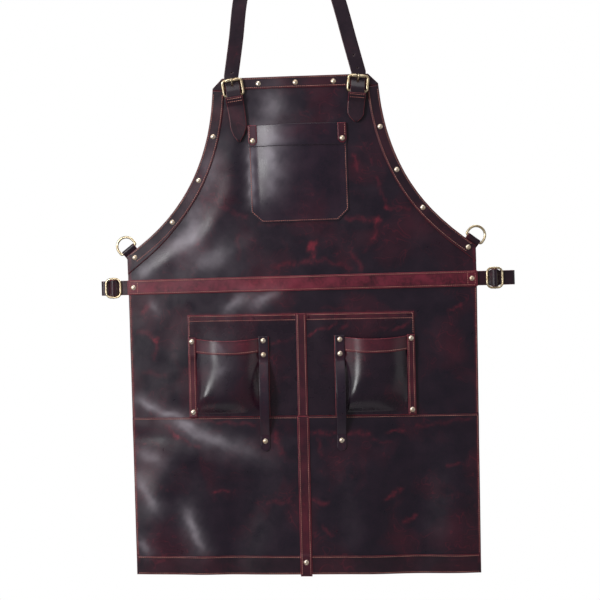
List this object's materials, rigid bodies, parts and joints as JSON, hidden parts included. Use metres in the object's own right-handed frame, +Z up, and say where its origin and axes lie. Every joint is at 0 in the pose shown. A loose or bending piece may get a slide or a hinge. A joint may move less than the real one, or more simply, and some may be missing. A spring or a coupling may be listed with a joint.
{
  "type": "blacksmith apron",
  "caption": "Leather work apron that hangs by its neck strap, with chest pocket, tool pockets, hammer loops, buckles and a waist strap.",
  "frame": {"origin": "underside of the neck strap at its top, where it lies on a peg", "axes": "+Z up, -Y towards the viewer and out of the apron's front, +X to the viewer's right"},
  "size_m": [0.7198, 0.0662, 1.2579],
  "materials": {
    "body_leather": "oiled, dark aubergine",
    "band_leather": "oiled, dark red",
    "strap_leather": "oiled, dark",
    "antique_brass": "antique, satin",
    "rivet_brass": "bright, domed"
  },
  "bodies": {
    "apron": {"armhole_facing_left": "body_leather", "armhole_facing_right": "body_leather", "bib_panel": "body_leather", "buckle_frame_left": "antique_brass", "buckle_frame_right": "antique_brass", "buckle_prong_left": "antique_brass", "buckle_prong_right": "antique_brass", "buckle_tab_left": "strap_leather", "buckle_tab_right": "strap_leather", "centre_strip_lower": "band_leather", "centre_strip_upper": "body_leather", "chest_pocket": "body_leather", "chest_tab_left": "body_leather", "chest_tab_right": "body_leather", "hammer_loop_left": "body_leather", "hammer_loop_right": "body_leather", "hem_band": "body_leather", "lower_panel": "body_leather", "neck_strap": "strap_leather", "pocket_tab_left": "body_leather", "pocket_tab_right": "body_leather", "ring_loop_left": "strap_leather", "ring_loop_right": "strap_leather", "rivet_armhole_left_1": "rivet_brass", "rivet_armhole_left_2": "rivet_brass", "rivet_armhole_left_3": "rivet_brass", "rivet_armhole_right_1": "rivet_brass", "rivet_armhole_right_2": "rivet_brass", "rivet_armhole_right_3": "rivet_brass", "rivet_chest_left": "rivet_brass", "rivet_chest_right": "rivet_brass", "rivet_hem": "rivet_brass", "rivet_loop_high_left": "rivet_brass", "rivet_loop_high_right": "rivet_brass", "rivet_loop_low_left": "rivet_brass", "rivet_loop_low_right": "rivet_brass", "rivet_loop_second_left": "rivet_brass", "rivet_loop_second_right": "rivet_brass", "rivet_ring_left": "rivet_brass", "rivet_ring_right": "rivet_brass", "rivet_tab_high_left": "rivet_brass", "rivet_tab_high_right": "rivet_brass", "rivet_tab_low_left": "rivet_brass", "rivet_tab_low_right": "rivet_brass", "rivet_top_1": "rivet_brass", "rivet_top_2": "rivet_brass", "rivet_top_3": "rivet_brass", "rivet_waist_left": "rivet_brass", "rivet_waist_right": "rivet_brass", "side_pocket_left": "body_leather", "side_pocket_right": "body_leather", "skirt_panel": "body_leather", "slider_left": "antique_brass", "slider_right": "antique_brass", "tool_panel": "body_leather", "top_facing": "body_leather", "waist_strap": "strap_leather", "waistband": "band_leather"},
    "left_ring": {"d_ring_left": "antique_brass"},
    "right_ring": {"d_ring_right": "antique_brass"}
  },
  "joints": [
    {"name": "left_ring_hinge", "type": "hinge", "parent": "apron", "child": "left_ring", "pos_m": [-0.27193, 0.01637, -0.69123], "axis": [0.7723, -0.0722, 0.6311], "range_deg": [-160, 100]},
    {"name": "right_ring_hinge", "type": "hinge", "parent": "apron", "child": "right_ring", "pos_m": [0.32634, 0.01638, -0.67194], "axis": [0.8115, 0.0717, -0.58], "range_deg": [-160, 100]}
  ]
}
